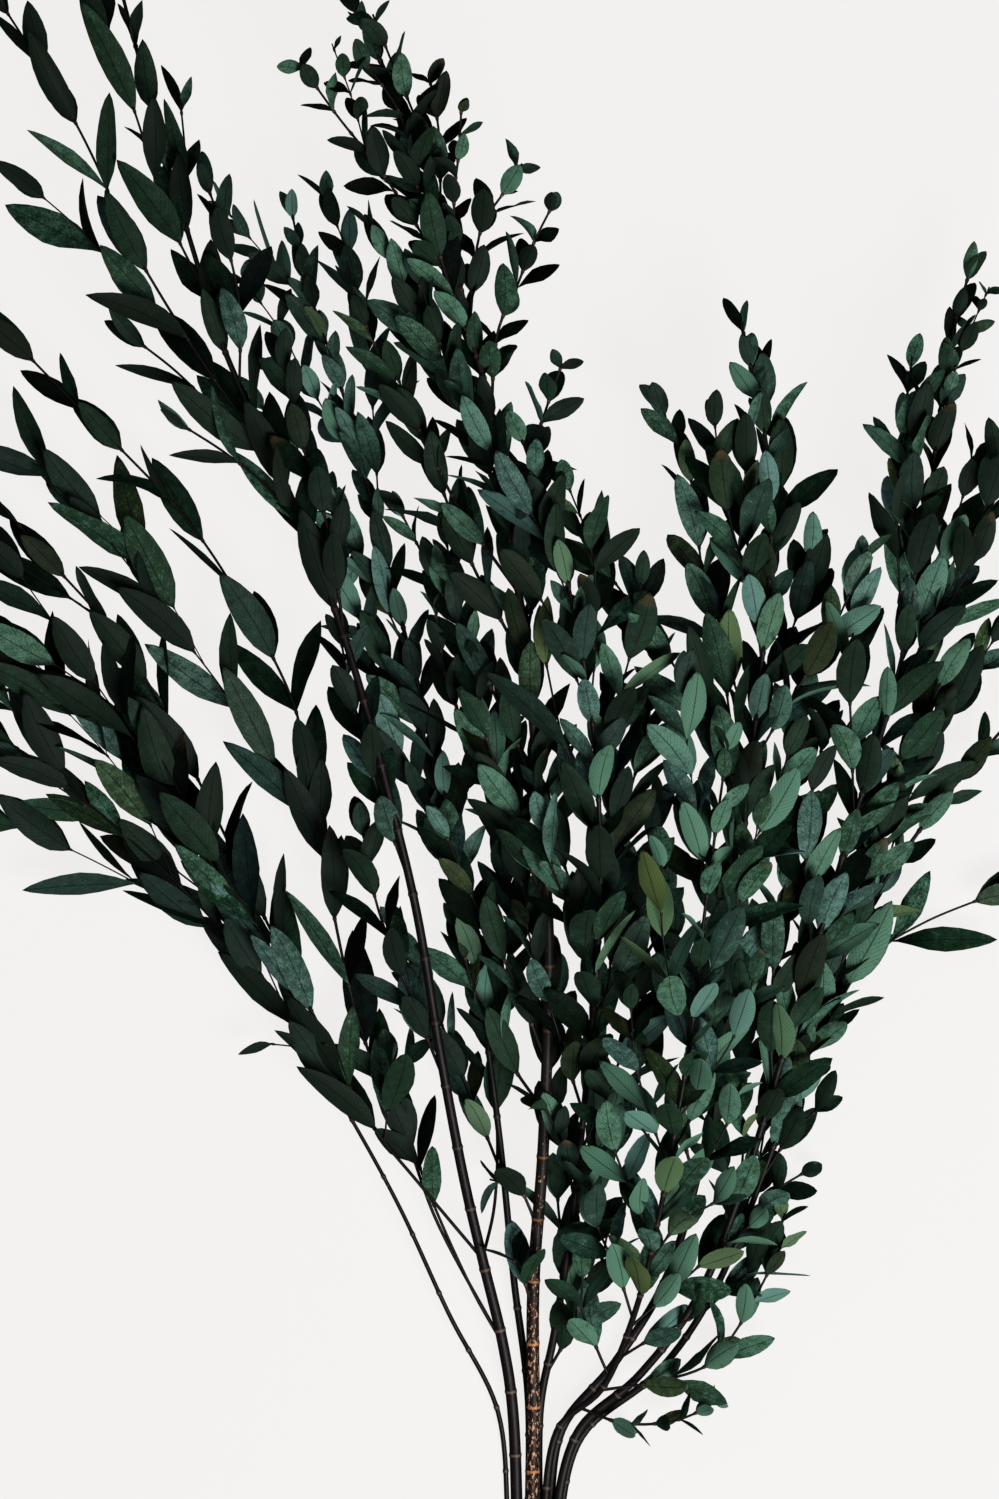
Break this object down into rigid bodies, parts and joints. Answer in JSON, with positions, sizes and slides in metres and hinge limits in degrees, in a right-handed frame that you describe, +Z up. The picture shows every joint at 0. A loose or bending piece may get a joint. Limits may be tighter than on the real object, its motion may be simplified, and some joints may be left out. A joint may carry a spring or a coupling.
{
  "type": "preserved parvifolia eucalyptus bunch",
  "caption": "Bunch of cut, preserved small-leaved eucalyptus stems, gathered at the cut ends and fanning out into leafy tips, laid flat.",
  "frame": {"origin": "on the surface that the bunch lies on, under the stem that runs straight through the gathering point, 96 mm from that stem's cut end", "axes": "+Y from the gathering point to the leafy tips, +X to the right seen from above with the tips up, +Z up from the surface"},
  "size_m": [0.512, 0.7292, 0.0983],
  "materials": {
    "preserved_leaf": "matt waxy dark green leaf on dark brown wood"
  },
  "bodies": {
    "root": {"straight_stem": "preserved_leaf", "left_stem": "preserved_leaf", "left_low_stem": "preserved_leaf", "front_right_stem": "preserved_leaf", "right_centre_stem": "preserved_leaf", "right_low_stem": "preserved_leaf", "right_stem": "preserved_leaf", "centre_stem": "preserved_leaf", "right_front_stem": "preserved_leaf"}
  },
  "joints": []
}
